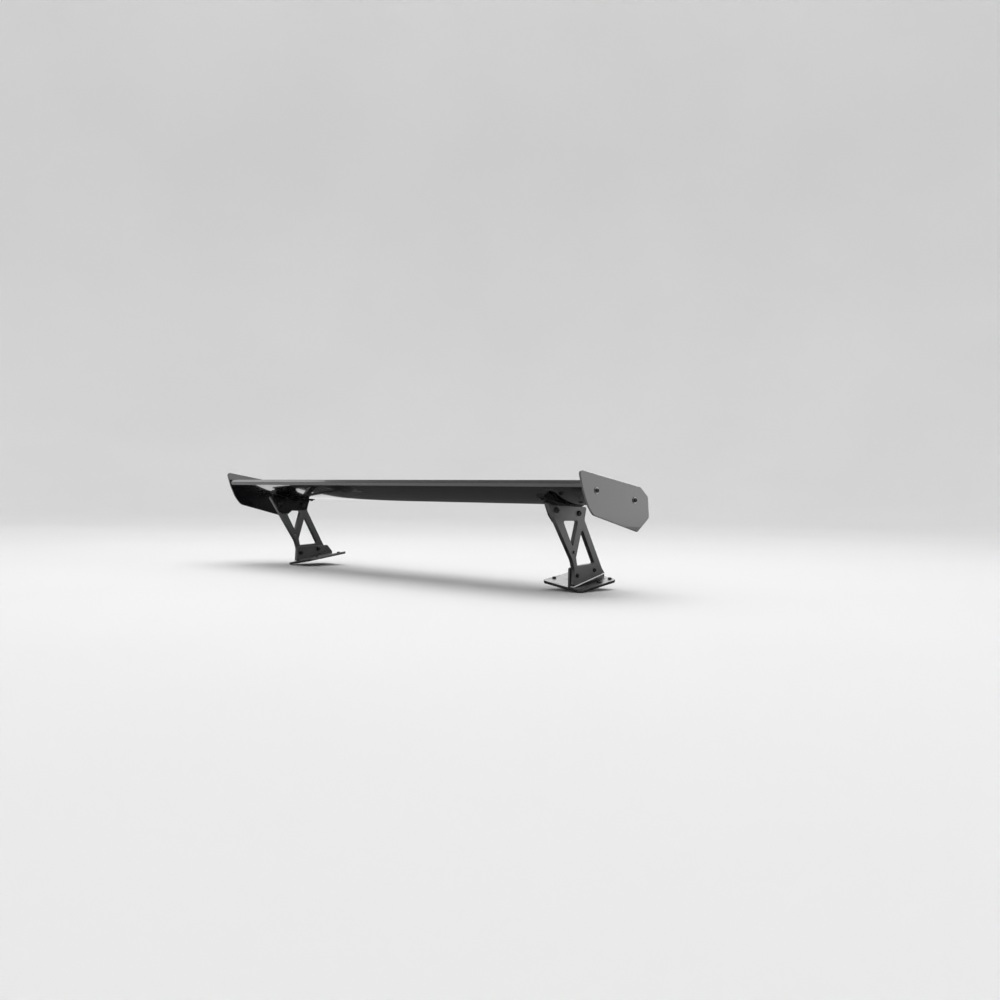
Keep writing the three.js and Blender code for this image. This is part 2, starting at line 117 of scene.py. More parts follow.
# ------------------------------------------------------------------ camera
def add_camera():
    """The photograph's own viewpoint: behind the wing on its right, level with its underside."""
    yaw, pitch, roll = (math.radians(a) for a in CAMERA_TURN)
    ahead = Vector((-math.sin(yaw) * math.cos(pitch), math.cos(yaw) * math.cos(pitch),
                    math.sin(pitch)))
    flat = Vector((math.cos(yaw), math.sin(yaw), 0.0))
    upright = flat.cross(ahead)
    right = flat * math.cos(roll) + upright * math.sin(roll)
    up = upright * math.cos(roll) - flat * math.sin(roll)
    camera = bpy.data.objects.new("camera", bpy.data.cameras.new("camera"))
    camera.data.sensor_width = SENSOR_WIDTH
    camera.data.lens = FOCAL_LENGTH
    camera.data.clip_start, camera.data.clip_end = 0.05, 60.0
    place = Matrix((right, up, -ahead)).transposed().to_4x4()
    place.translation = at(*CAMERA_PLACE)
    camera.matrix_world = place
    bpy.context.scene.collection.objects.link(camera)
    bpy.context.scene.camera = camera


# ------------------------------------------------------------------ outlines, in millimetres
def rounded(corners, step=6.0):
    """A polygon with round corners. Each corner is (y, z, radius)."""
    outline = []
    for i, (y, z, radius) in enumerate(corners):
        corner = Vector((y, z))
        if not radius:
            outline.append(corner)
            continue
        back = (Vector(corners[i - 1][:2]) - corner).normalized()
        ahead = (Vector(corners[(i + 1) % len(corners)][:2]) - corner).normalized()
        half = back.angle(ahead) / 2
        centre = corner + (back + ahead).normalized() * (radius / math.sin(half))
        start = corner + back * (radius / math.tan(half)) - centre
        end = corner + ahead * (radius / math.tan(half)) - centre
        turn = math.atan2(start.x * end.y - start.y * end.x, start.dot(end))
        steps = max(2, math.ceil(abs(turn) / math.radians(step)))
        for k in range(steps + 1):
            a = turn * k / steps
            outline.append(centre + Vector((start.x * math.cos(a) - start.y * math.sin(a),
                                            start.x * math.sin(a) + start.y * math.cos(a))))
    return outline


def circle(centre, radius, sides=40):
    """A closed loop of points on a circle."""
    return [Vector(centre) + radius * Vector((math.cos(a), math.sin(a)))
            for a in (2 * math.pi * i / sides for i in range(sides))]


def arc(centre, radius, start, end, steps):
    """Points along an arc, from one angle to another in radians."""
    return [Vector(centre) + radius * Vector((math.cos(a), math.sin(a)))
            for a in (start + (end - start) * k / steps for k in range(steps + 1))]


def arc_slot(centre, radius, start, end, half):
    """A slot along an arc, with round ends."""
    def middle(a):
        return Vector(centre) + radius * Vector((math.cos(a), math.sin(a)))
    end_cap = arc(middle(end), half, end, end + math.pi, 12)
    start_cap = arc(middle(start), half, start + math.pi, start + 2 * math.pi, 12)
    return (arc(centre, radius + half, start, end, 12) + end_cap[1:-1]
            + arc(centre, radius - half, end, start, 12) + start_cap[1:-1])


def bezier(a, b, c, d, steps):
    """Points along a cubic curve."""
    a, b, c, d = (Vector(p) for p in (a, b, c, d))
    points = []
    for k in range(steps + 1):
        t = k / steps
        s = 1 - t
        points.append(a * s**3 + b * 3 * s * s * t + c * 3 * s * t * t + d * t**3)
    return points


def area(loop):
    """A loop's area, above zero when it runs anticlockwise."""
    return sum(p.x * q.y - p.y * q.x for p, q in zip(loop, loop[1:] + loop[:1])) / 2


def inset(loop, distance):
    """A closed loop moved to its left, which is into the material of a plate's loops."""
    moved = []
    count = len(loop)
    for i, p in enumerate(loop):
        before = (p - loop[i - 1]).normalized()
        after = (loop[(i + 1) % count] - p).normalized()
        left = Vector((-before.y - after.y, before.x + after.x)).normalized()
        miter = max(0.35, left.dot(Vector((-after.y, after.x))))
        moved.append(p + left * (distance / miter))
    return moved


def moved_line(line, distance):
    """An open line moved to its left. The wing's lines stand upright at the nose."""
    result = []
    for i, p in enumerate(line):
        if p.x == NOSE[0]:
            result.append(Vector((p.x - distance, p.y)))
            continue
        along = (line[min(i + 1, len(line) - 1)] - line[max(i - 1, 0)]).normalized()
        result.append(Vector((p.x - along.y * distance, p.y + along.x * distance)))
    return result


# ------------------------------------------------------------------ the wing's section
def top_line():
    """The section's upper line, from the nose back to the trailing edge."""
    nose = bezier((NOSE[0], NOSE[1] + GAP / 2), (NOSE[0], -30), (236, CREST[1]), CREST, 24)
    return nose + bezier(CREST, (150, CREST[1] - 6), (60, -14), (0, TE_TOP), 60)[1:]


def under_line():
    """The section's lower line, from the trailing edge forward to the nose."""
    back = bezier((1, TE_BOTTOM), (51, -36.5), (115, LOWEST[1]), LOWEST, 60)
    return back + bezier(LOWEST, (198, LOWEST[1]), (NOSE[0], -51),
                         (NOSE[0], NOSE[1] - GAP / 2), 32)[1:]


TOP, UNDER = top_line(), under_line()


def inside(line, depth, rear, front=NOSE[0]):
    """One of the section's lines, moved inwards by a depth and kept between rear and front."""
    return [p for p in moved_line(line, depth) if rear <= p.x <= front]


def underside(y):
    """The underside's height at y, and its slope in radians."""
    i = next(k for k, p in enumerate(UNDER) if p.x >= y)
    a, b = UNDER[i - 1], UNDER[i]
    return a.y + (b.y - a.y) * (y - a.x) / (b.x - a.x), math.atan2(b.y - a.y, b.x - a.x)


# ------------------------------------------------------------------ mesh building
def to_yz(x):
    """Local (u, v, w) in millimetres to (y, z, x) in the row frame, with w counted from x."""
    basis = Matrix(((0, 0, 1), (1, 0, 0), (0, 1, 0))).to_4x4()
    return Matrix.Translation(at(x, 0, 0)) @ Matrix.Scale(MM, 4) @ basis


def foot_frame():
    """The right-hand base plate's frame, with its origin at the centre of its top face."""
    tilt = Matrix.Rotation(math.radians(FOOT_REARWARD), 4, "X") @ Matrix.Rotation(
        math.radians(FOOT_OUTWARD), 4, "Y")
    return Matrix.Translation(at(*FOOT_CENTRE)) @ tilt @ Matrix.Scale(MM, 4)


MIRROR = Matrix.Scale(-1, 4, (1, 0, 0))


def make_piece(name, bm, place, side, body, finish, nodes=(), smooth=40.0):
    """Turns a bmesh in millimetres into a piece on a body, mirrored when it is on the left."""
    matrix = (MIRROR if side == LEFT else Matrix.Identity(4)) @ place
    bm.transform(matrix)
    if matrix.determinant() < 0:
        bmesh.ops.reverse_faces(bm, faces=bm.faces[:])
    for face in bm.faces:
        face.smooth = True
    mesh = bpy.data.meshes.new(name)
    bm.to_mesh(mesh)
    bm.free()
    mesh.set_sharp_from_angle(angle=math.radians(smooth))
    piece = bpy.data.objects.new(name, mesh)
    bpy.context.scene.collection.objects.link(piece)
    mesh.materials.append(finish["material"])
    weighted = piece.modifiers.new("even_normals", "WEIGHTED_NORMAL")
    weighted.keep_sharp = True
    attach(piece, body)
    if nodes:
        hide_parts(*nodes)
    return piece


def slab(outline, holes, thickness, edge=0.8, steps=3):
    """A plate from w = 0 to its thickness, with every edge rounded, as a closed bmesh."""
    loops = [outline if area(outline) > 0 else outline[::-1]]
    loops += [hole if area(hole) < 0 else hole[::-1] for hole in holes]
    levels = []
    for k in range(steps + 1):
        a = math.pi / 2 * k / steps
        levels.append((edge * (1 - math.sin(a)), edge * (1 - math.cos(a))))
    rings = [(i, w) for i, w in levels] + [(i, thickness - w) for i, w in reversed(levels)]
    bm = bmesh.new()
    caps = {0: [], len(rings) - 1: []}
    for loop in loops:
        placed = []
        for k, (depth, w) in enumerate(rings):
            ring = [bm.verts.new((p.x, p.y, w)) for p in inset(loop, depth)]
            placed.append(ring)
            if k in caps:
                caps[k].append(ring)
        count = len(loop)
        for low, high in zip(placed, placed[1:]):
            for i in range(count):
                j = (i + 1) % count
                bm.faces.new((low[i], low[j], high[j], high[i]))
    for k, cap in caps.items():
        flat = [v for ring in cap for v in ring]
        for triangle in tessellate_polygon([[v.co.xy.to_3d() for v in ring] for ring in cap]):
            corners = [flat[i] for i in triangle]
            turn = (corners[1].co - corners[0].co).cross(corners[2].co - corners[0].co).z
            if abs(turn) < 1e-9:
                continue
            if (turn > 0) != (k > 0):
                corners.reverse()
            bm.faces.new(corners)
    return bm


def hexagon(radius, a):
    """The distance from the middle of a hexagon to its edge in the direction a."""
    return radius * math.cos(math.pi / 6) / math.cos(a % (math.pi / 3) - math.pi / 6)


def turned(rings, closed=False, sides=48):
    """A turned piece along local z. A ring is (shape, radius, height), round or hex."""
    bm = bmesh.new()
    placed = []
    for shape, radius, height in rings:
        ring = []
        for i in range(sides):
            a = 2 * math.pi * i / sides
            r = radius if shape == "round" else hexagon(radius, a)
            ring.append(bm.verts.new((r * math.cos(a), r * math.sin(a), height)))
        placed.append(ring)
    pairs = list(zip(placed, placed[1:])) + ([(placed[-1], placed[0])] if closed else [])
    for low, high in pairs:
        for i in range(sides):
            j = (i + 1) % sides
            bm.faces.new((low[i], low[j], high[j], high[i]))
    if not closed:
        for ring, first in ((placed[0], True), (placed[-1], False)):
            middle = bm.verts.new((0, 0, ring[0].co.z))
            for i in range(sides):
                j = (i + 1) % sides
                corners = (ring[j], ring[i], middle) if first else (ring[i], ring[j], middle)
                bm.faces.new(corners)
    return bm


# ------------------------------------------------------------------ materials
NOISE_LOW, NOISE_HIGH = 0.3, 0.7


def new_material(name, color, roughness, metallic=0.0, coat=0.0, coat_roughness=0.03, level=0.5):
    material = bpy.data.materials.new(name)
    material.use_nodes = True
    shader = material.node_tree.nodes["Principled BSDF"]
    shader.inputs["Base Color"].default_value = (*color, 1.0)
    shader.inputs["Roughness"].default_value = roughness
    shader.inputs["Metallic"].default_value = metallic
    shader.inputs["Coat Weight"].default_value = coat
    shader.inputs["Coat Roughness"].default_value = coat_roughness
    shader.inputs["Specular IOR Level"].default_value = level
    material.diffuse_color = (*color, 1.0)
    return material, material.node_tree, shader


def noise(tree, scale, detail=2.0, roughness=0.5, stretch=(1.0, 1.0, 1.0)):
    """Noise in the object's own space; scale is cycles per metre."""
    where = tree.nodes.new("ShaderNodeTexCoord")
    mapping = tree.nodes.new("ShaderNodeMapping")
    mapping.inputs["Scale"].default_value = stretch
    texture = tree.nodes.new("ShaderNodeTexNoise")
    texture.inputs["Scale"].default_value = scale
    texture.inputs["Detail"].default_value = detail
    texture.inputs["Roughness"].default_value = roughness
    tree.links.new(where.outputs["Object"], mapping.inputs["Vector"])
    tree.links.new(mapping.outputs["Vector"], texture.inputs["Vector"])
    return texture.outputs["Fac"]


def spread(tree, value, low, high):
    """A noise's usual range, NOISE_LOW to NOISE_HIGH, spread over low to high."""
    node = tree.nodes.new("ShaderNodeMapRange")
    node.inputs["From Min"].default_value = NOISE_LOW
    node.inputs["From Max"].default_value = NOISE_HIGH
    node.inputs["To Min"].default_value = low
    node.inputs["To Max"].default_value = high
    tree.links.new(value, node.inputs["Value"])
    return node.outputs["Result"]


def tint(tree, value, dark, light, low=0.35, high=0.65):
    """A colour that runs from dark to light as a value goes from low to high."""
    ramp = tree.nodes.new("ShaderNodeValToRGB")
    ramp.color_ramp.elements[0].position = low
    ramp.color_ramp.elements[0].color = (*dark, 1.0)
    ramp.color_ramp.elements[1].position = high
    ramp.color_ramp.elements[1].color = (*light, 1.0)
    tree.links.new(value, ramp.inputs["Fac"])
    return ramp.outputs["Color"]


def bump(tree, height, depth, strength=1.0, onto=None):
    """Relief of a depth in millimetres, laid over another relief when one is given."""
    node = tree.nodes.new("ShaderNodeBump")
    node.inputs["Distance"].default_value = depth * MM
    node.inputs["Strength"].default_value = strength
    tree.links.new(height, node.inputs["Height"])
    if onto:
        tree.links.new(onto, node.inputs["Normal"])
    return node.outputs["Normal"]


def gloss_black():
    """Sprayed gloss black on a smooth moulding: faint orange peel and a thin clear coat."""
    material, tree, shader = new_material(
        "gloss_black", (0.007, 0.007, 0.0085), 0.16, coat=1.0, coat_roughness=0.02)
    peel = bump(tree, noise(tree, 260.0, 1.0), 0.003, 0.5)
    waves = bump(tree, noise(tree, 18.0, 1.0), 0.02, 0.25, onto=peel)
    tree.links.new(waves, shader.inputs["Normal"])
    tree.links.new(waves, shader.inputs["Coat Normal"])
    tree.links.new(spread(tree, noise(tree, 9.0, 3.0), 0.08, 0.16), shader.inputs["Roughness"])
    return {"material": material, "slot": "gloss_black"}


def powder_black():
    """Satin black powder coat: fine grain over a slow mottle."""
    material, tree, shader = new_material("powder_black", (0.016, 0.016, 0.018), 0.36, level=1.0)
    grain = noise(tree, 2400.0, 2.0, 0.6)
    mottle = noise(tree, 60.0, 4.0, 0.6)
    tree.links.new(tint(tree, mottle, (0.010, 0.010, 0.011), (0.016, 0.016, 0.0175)),
                   shader.inputs["Base Color"])
    tree.links.new(spread(tree, mottle, 0.30, 0.42), shader.inputs["Roughness"])
    relief = bump(tree, grain, 0.06, 0.55)
    tree.links.new(bump(tree, noise(tree, 420.0, 1.0), 0.05, 0.3, onto=relief),
                   shader.inputs["Normal"])
    return {"material": material, "slot": "powder_black"}


def bracket_black():
    """Smoothly painted black brackets, semi-gloss, with a little orange peel. The very dark base
    colour and the weak specular level are painted shade, darkening the brackets as if they lay in
    shadow under the wing.
    """
    # Painted shade: base colour and specular level are set very low, so the brackets look as dark as
    # if shadowed.
    material, tree, shader = new_material("bracket_black", (0.004, 0.004, 0.0045), 0.30, level=0.15)
    blotch = noise(tree, 45.0, 3.0)
    tree.links.new(tint(tree, blotch, (0.003, 0.003, 0.0035), (0.006, 0.006, 0.0065)),
                   shader.inputs["Base Color"])
    tree.links.new(spread(tree, blotch, 0.24, 0.36), shader.inputs["Roughness"])
    tree.links.new(bump(tree, noise(tree, 700.0, 1.0), 0.02, 0.4), shader.inputs["Normal"])
    return {"material": material, "slot": "bracket_black"}


def black_fastener():
    """Black zinc on steel, with a fine blotch."""
    material, tree, shader = new_material("black_fastener", (0.02, 0.02, 0.022), 0.35, 0.85)
    blotch = noise(tree, 900.0, 3.0)
    tree.links.new(tint(tree, blotch, (0.016, 0.016, 0.018), (0.05, 0.05, 0.054)),
                   shader.inputs["Base Color"])
    tree.links.new(spread(tree, blotch, 0.28, 0.48), shader.inputs["Roughness"])
    tree.links.new(bump(tree, noise(tree, 3000.0), 0.02, 0.4), shader.inputs["Normal"])
    return {"material": material, "slot": "black_fastener"}


def zinc():
    """Bright zinc washers with a faint turned grain."""
    material, tree, shader = new_material("zinc", (0.45, 0.46, 0.48), 0.34, 1.0)
    streaks = noise(tree, 1800.0, 2.0, 0.5, stretch=(0.2, 1.0, 1.0))
    tree.links.new(tint(tree, streaks, (0.20, 0.205, 0.215), (0.34, 0.345, 0.36)),
                   shader.inputs["Base Color"])
    tree.links.new(spread(tree, streaks, 0.26, 0.42), shader.inputs["Roughness"])
    tree.links.new(bump(tree, streaks, 0.02, 0.4), shader.inputs["Normal"])
    return {"material": material, "slot": "zinc"}


def drawn_aluminium():
    """Bare aluminium with a fine grain along the span."""
    material, tree, shader = new_material("drawn_aluminium", (0.7, 0.71, 0.72), 0.35, 1.0)
    streaks = noise(tree, 1500.0, 2.0, 0.5, stretch=(0.02, 1.0, 1.0))
    tree.links.new(spread(tree, streaks, 0.25, 0.42), shader.inputs["Roughness"])
    tree.links.new(bump(tree, streaks, 0.02, 0.5), shader.inputs["Normal"])
    return {"material": material, "slot": "spar"}


def nylon():
    """Glass-filled nylon: matt, with short fibres showing as flecks."""
    material, tree, shader = new_material("rib_nylon", (0.03, 0.031, 0.033), 0.6)
    flecks = noise(tree, 1400.0, 4.0, 0.7, stretch=(1.0, 0.25, 1.0))
    tree.links.new(tint(tree, flecks, (0.022, 0.023, 0.025), (0.05, 0.052, 0.055)),
                   shader.inputs["Base Color"])
    tree.links.new(bump(tree, flecks, 0.05, 0.5), shader.inputs["Normal"])
    return {"material": material, "slot": "rib_nylon"}


def rubber():
    """Matt black rubber with a fine grain."""
    material, tree, shader = new_material("pad_rubber", (0.016, 0.016, 0.016), 0.8, level=0.3)
    grain = noise(tree, 1100.0, 3.0, 0.6)
    tree.links.new(spread(tree, grain, 0.7, 0.92), shader.inputs["Roughness"])
    tree.links.new(bump(tree, grain, 0.08, 0.6), shader.inputs["Normal"])
    return {"material": material, "slot": "pad_rubber"}


# ------------------------------------------------------------------ the wing
def add_skins(gloss):
    """Both skins as hi-res sections, with the trailing edge's corners rounded."""
    low, high = span("wing_upper_skin")
    heel = TE_SPLIT + GAP / 2
    upper = TOP[:-1] + rounded([(TOP[-2].x, TOP[-2].y, 0), (0, TE_TOP, 1.2),
                                (-TE_BULGE, heel, 0.4), (LIP - TE_BULGE, heel, 0)])[1:]
    upper += inside(TOP, SKIN, LIP)[::-1]
    heel = TE_SPLIT - GAP / 2
    lower = rounded([(LIP - TE_BULGE, heel, 0), (-TE_BULGE, heel, 0.4), (1, TE_BOTTOM, 1.0),
                     (UNDER[1].x, UNDER[1].y, 0)])[:-1]
    lower += UNDER[1:] + inside(UNDER, SKIN, LIP)[::-1]
    for name, outline in (("upper", upper), ("lower", lower)):
        make_piece(f"{name}_skin", slab(outline, [], high - low, edge=0.25, steps=2), to_yz(low),
                   RIGHT, "wing", gloss, [f"wing_{name}_skin"], smooth=50.0)


ENDPLATE_OUTLINE = [
    (-15, 27, 8), (-1, -17, 60), (17, -55, 80), (38, -79, 28), (213, -122, 6), (261, -88, 12),
    (255, -35, 10), (224, -12, 14),
]


def add_endplate(side, gloss, black, washer_finish):
    """An endplate with its two button-head bolts on washers."""
    name = SIDE_NAME[side]
    low, high = span("endplate_right")
    holes = [circle(hole, clearance(M6)) for hole in ENDPLATE_HOLES.values()]
    make_piece(f"endplate_{name}_panel", slab(rounded(ENDPLATE_OUTLINE, 4.0), holes, high - low,
                                             edge=1.1, steps=4),
               to_yz(low), side, "wing", gloss, [f"endplate_{name}"])
    for place, hole in ENDPLATE_HOLES.items():
        seat = span(f"endplate_washer_right_{place}")
        ring = turned(washer_rings(clearance(M6), WASHER_RADIUS, seat[1] - seat[0]), closed=True)
        aimed(f"washer_{name}_{place}", ring, (seat[0], *hole), (1, 0, 0), side, "wing",
              washer_finish, f"endplate_washer_{name}_{place}")
        head = turned(screw_rings(M6, ENDPLATE_BOLT_LENGTH))
        aimed(f"button_bolt_{name}_{place}", head, (seat[1] + GAP, *hole), (1, 0, 0), side,
              "wing", black, f"endplate_bolt_{name}_{place}")


# ------------------------------------------------------------------ fasteners
def screw_rings(size, length):
    """Rings of a button-head screw: tip, rolled thread, head and hexagon socket."""
    shank, pitch, head = size["shank"], size["pitch"], size["head"]
    height, socket = size["height"], size["socket"]
    rings = [("round", shank - 0.9, -length), ("round", shank - 0.25, -length + THREAD_TIP)]
    z = -length + THREAD_TIP
    while z < -length + THREAD and z < -1.5 - pitch:
        rings += [("round", shank, z + pitch * 0.45), ("round", shank - 0.35, z + pitch * 0.9)]
        z += pitch
    rings += [("round", shank - 0.02, z + pitch), ("round", shank - 0.02, 0.0),
              ("round", head - 0.25, 0.0), ("round", head, 0.25)]
    for k in range(DOME_STEPS + 1):
        a = math.pi / 2 * k / DOME_STEPS
        rings.append(("round", head * (0.62 + 0.38 * math.cos(a)),
                      height * (0.3 + 0.7 * math.sin(a))))
    rings += [("round", socket * 1.06, height), ("hex", socket, height - 0.25),
              ("hex", socket, height * 0.42), ("round", socket * 0.2, height * 0.3)]
    return rings


def washer_rings(hole, outer, thickness):
    """Rings of a washer with chamfered edges."""
    c = 0.25  # chamfer
    return [("round", r, z) for r, z in (
        (hole, c), (hole + c, 0.0), (outer - c, 0.0), (outer, c), (outer, thickness - c),
        (outer - c, thickness), (hole + c, thickness), (hole, thickness - c))]


def nut_rings(size):
    """Rings of a flange nut, from its seat up."""
    nut, flange, height = (size[k] for k in ("nut", "flange", "nut_height"))
    bore = clearance(size)
    flat = nut * math.cos(math.pi / 6)
    return [("round", bore, 0.5), ("round", bore + 0.5, 0.0), ("round", flange - 0.3, 0.0),
            ("round", flange, 0.3), ("round", flange, 0.9), ("round", nut + 0.1, 1.7),
            ("hex", nut, 2.2), ("hex", nut, height - 0.8),
            ("round", flat + 0.05, height), ("round", bore + 0.5, height),
            ("round", bore, height - 0.5)]


def aimed(name, bm, place, direction, side, body, finish, node):
    """A turned piece with its seat at a place and its head's side facing a direction."""
    turn = Vector((0, 0, 1)).rotation_difference(Vector(direction)).to_matrix().to_4x4()
    matrix = Matrix.Translation(at(*place)) @ turn @ Matrix.Scale(MM, 4)
    return make_piece(name, bm, matrix, side, body, finish, [node])


# ------------------------------------------------------------------ brackets and stand
def weld_bead(name, path, radius, place, side, body, finish):
    """A rippled weld along a path of 3-D points in local millimetres."""
    bm = bmesh.new()
    sides, rings = 12, []
    for k, p in enumerate(path):
        along = (path[min(k + 1, len(path) - 1)] - path[max(k - 1, 0)]).normalized()
        across = along.cross(Vector((0, 0, 1))).normalized()
        other = across.cross(along)
        end = min(1.0, (min(k, len(path) - 1 - k) + 0.35) / 3)
        r = radius * end * (1 + RIPPLE * math.sin(k * RIPPLE_TURN))
        rings.append([bm.verts.new(p + r * (across * math.cos(a) + other * math.sin(a)))
                      for a in (2 * math.pi * i / sides for i in range(sides))])
    for low, high in zip(rings, rings[1:]):
        for i in range(sides):
            j = (i + 1) % sides
            bm.faces.new((low[i], low[j], high[j], high[i]))
    bm.faces.new(rings[0][::-1])
    bm.faces.new(rings[-1])
    bmesh.ops.recalc_face_normals(bm, faces=bm.faces[:])
    return make_piece(name, bm, place, side, body, finish, smooth=80.0)


BLADE_EDGE = [
    (199, -60, 0), (190, -80, 14), (184, -95, 8), (128, -94, 6), (104, -107, 8), (86, -101, 8),
    (70, -84, 14), (54, -52, 0),
]


def add_bracket(side, shaded_bracket_paint, black):
    """A saddle under the wing with a welded blade that hangs beside the upright."""
    name = SIDE_NAME[side]
    inner, outer = span("wing_bracket_right")
    saddle = (inside(UNDER, -GAP, BRACKET_REAR, BRACKET_FRONT)
              + inside(UNDER, -GAP - BRACKET_FLANGE, BRACKET_REAR, BRACKET_FRONT)[::-1])
    make_piece(f"bracket_saddle_{name}", slab(saddle, [], outer - inner, edge=0.7, steps=2),
               to_yz(inner), side, "wing", shaded_bracket_paint, [f"wing_bracket_{name}"], smooth=50.0)

    rest = math.atan2(ADJUSTER[1] - PIVOT[1], ADJUSTER[0] - PIVOT[0])
    reach = math.hypot(ADJUSTER[1] - PIVOT[1], ADJUSTER[0] - PIVOT[0])
    hole = clearance(M8)
    slot = arc_slot(PIVOT, reach, rest - math.radians(TILT_DOWN), rest + math.radians(TILT_UP),
                    hole)
    root = inside(UNDER, -GAP - BRACKET_FLANGE / 2, BRACKET_REAR + 6, BRACKET_FRONT - 6)
    outline = root + rounded(BLADE_EDGE)
    make_piece(f"bracket_blade_{name}",
               slab(outline, [circle(PIVOT, hole), slot], BLADE, edge=0.7, steps=3),
               to_yz(outer - BLADE), side, "wing", shaded_bracket_paint)
    line = inside(UNDER, -GAP - BRACKET_FLANGE, BRACKET_REAR + 8, BRACKET_FRONT - 8)
    bead = [Vector((p.x, p.y - 0.6, 0)) for p in resample(line, 1.6)]
    weld_bead(f"bracket_weld_{name}", bead, 2.2, to_yz(outer - BLADE - 0.4), side, "wing", shaded_bracket_paint)
    for letter, y in SCREW_PLACES.items():
        z, slope = underside(y)
        below = Vector((0, math.sin(slope), -math.cos(slope)))
        seat = 2 * GAP + BRACKET_FLANGE
        place = (SCREW_X, y + seat * below.y, z + seat * below.z)
        screw = turned(screw_rings(M6, seat + SKIN + SCREW_BITE))
        aimed(f"saddle_screw_{name}_{letter}", screw, place, below, side, "wing", black,
              f"bracket_screw_{name}_{letter}")


def resample(line, step):
    """Points at even steps along an open line."""
    points, left = [line[0].copy()], step
    for a, b in zip(line, line[1:]):
        length = (b - a).length
        while left <= length:
            points.append(a.lerp(b, left / length))
            left += step
        left -= length
    return points


UPRIGHT_OUTLINE = [
    (44, -46.5, 3), (73, -90, 40), (107, -140, 60), (146, -197, 60), (154.5, -222, 40),
    (152, -262, 3), (273, -234.5, 4), (234, -168, 90), (192, -96, 14), (200, -63.5, 5),
    (66, -58, 16),
]
UPPER_OPENING = [(108, -97, 4), (146, -163.5, 3), (166, -98, 4)]
LOWER_OPENING = [(182.5, -118, 4), (160, -190, 6), (165, -211, 3), (234, -207.5, 3)]
LIGHTENING_HOLE = ((149, -177), 4.0)


def add_upright(side, powder, black):
    """An upright with its openings, its four bolts and their flange nuts."""
    name = SIDE_NAME[side]
    inner, outer = span("upright_right")
    bolts = {"pivot": (M8, PIVOT), "adjuster": (M8, ADJUSTER), "lower_rear": (M6, LOWER_REAR),
             "lower_front": (M6, LOWER_FRONT)}
    holes = [rounded(UPPER_OPENING, 10), rounded(LOWER_OPENING, 10), circle(*LIGHTENING_HOLE)]
    holes += [circle(hole, clearance(size)) for size, hole in bolts.values()]
    make_piece(f"upright_{name}_plate",
               slab(rounded(UPRIGHT_OUTLINE, 4.0), holes, outer - inner, edge=0.9, steps=4),
               to_yz(inner), side, "stand", powder, [f"upright_{name}"])
    for bolt, (size, hole) in bolts.items():
        low, high = span(f"{bolt}_bolt_right")
        seat = high - size["height"]
        aimed(f"{bolt}_button_bolt_{name}", turned(screw_rings(size, seat - low)), (seat, *hole),
              (1, 0, 0), side, "stand", black, f"{bolt}_bolt_{name}")
        aimed(f"{bolt}_flange_nut_{name}", turned(nut_rings(size), closed=True),
              (span(f"{bolt}_nut_right")[1], *hole), (-1, 0, 0), side, "stand", black,
              f"{bolt}_nut_{name}")


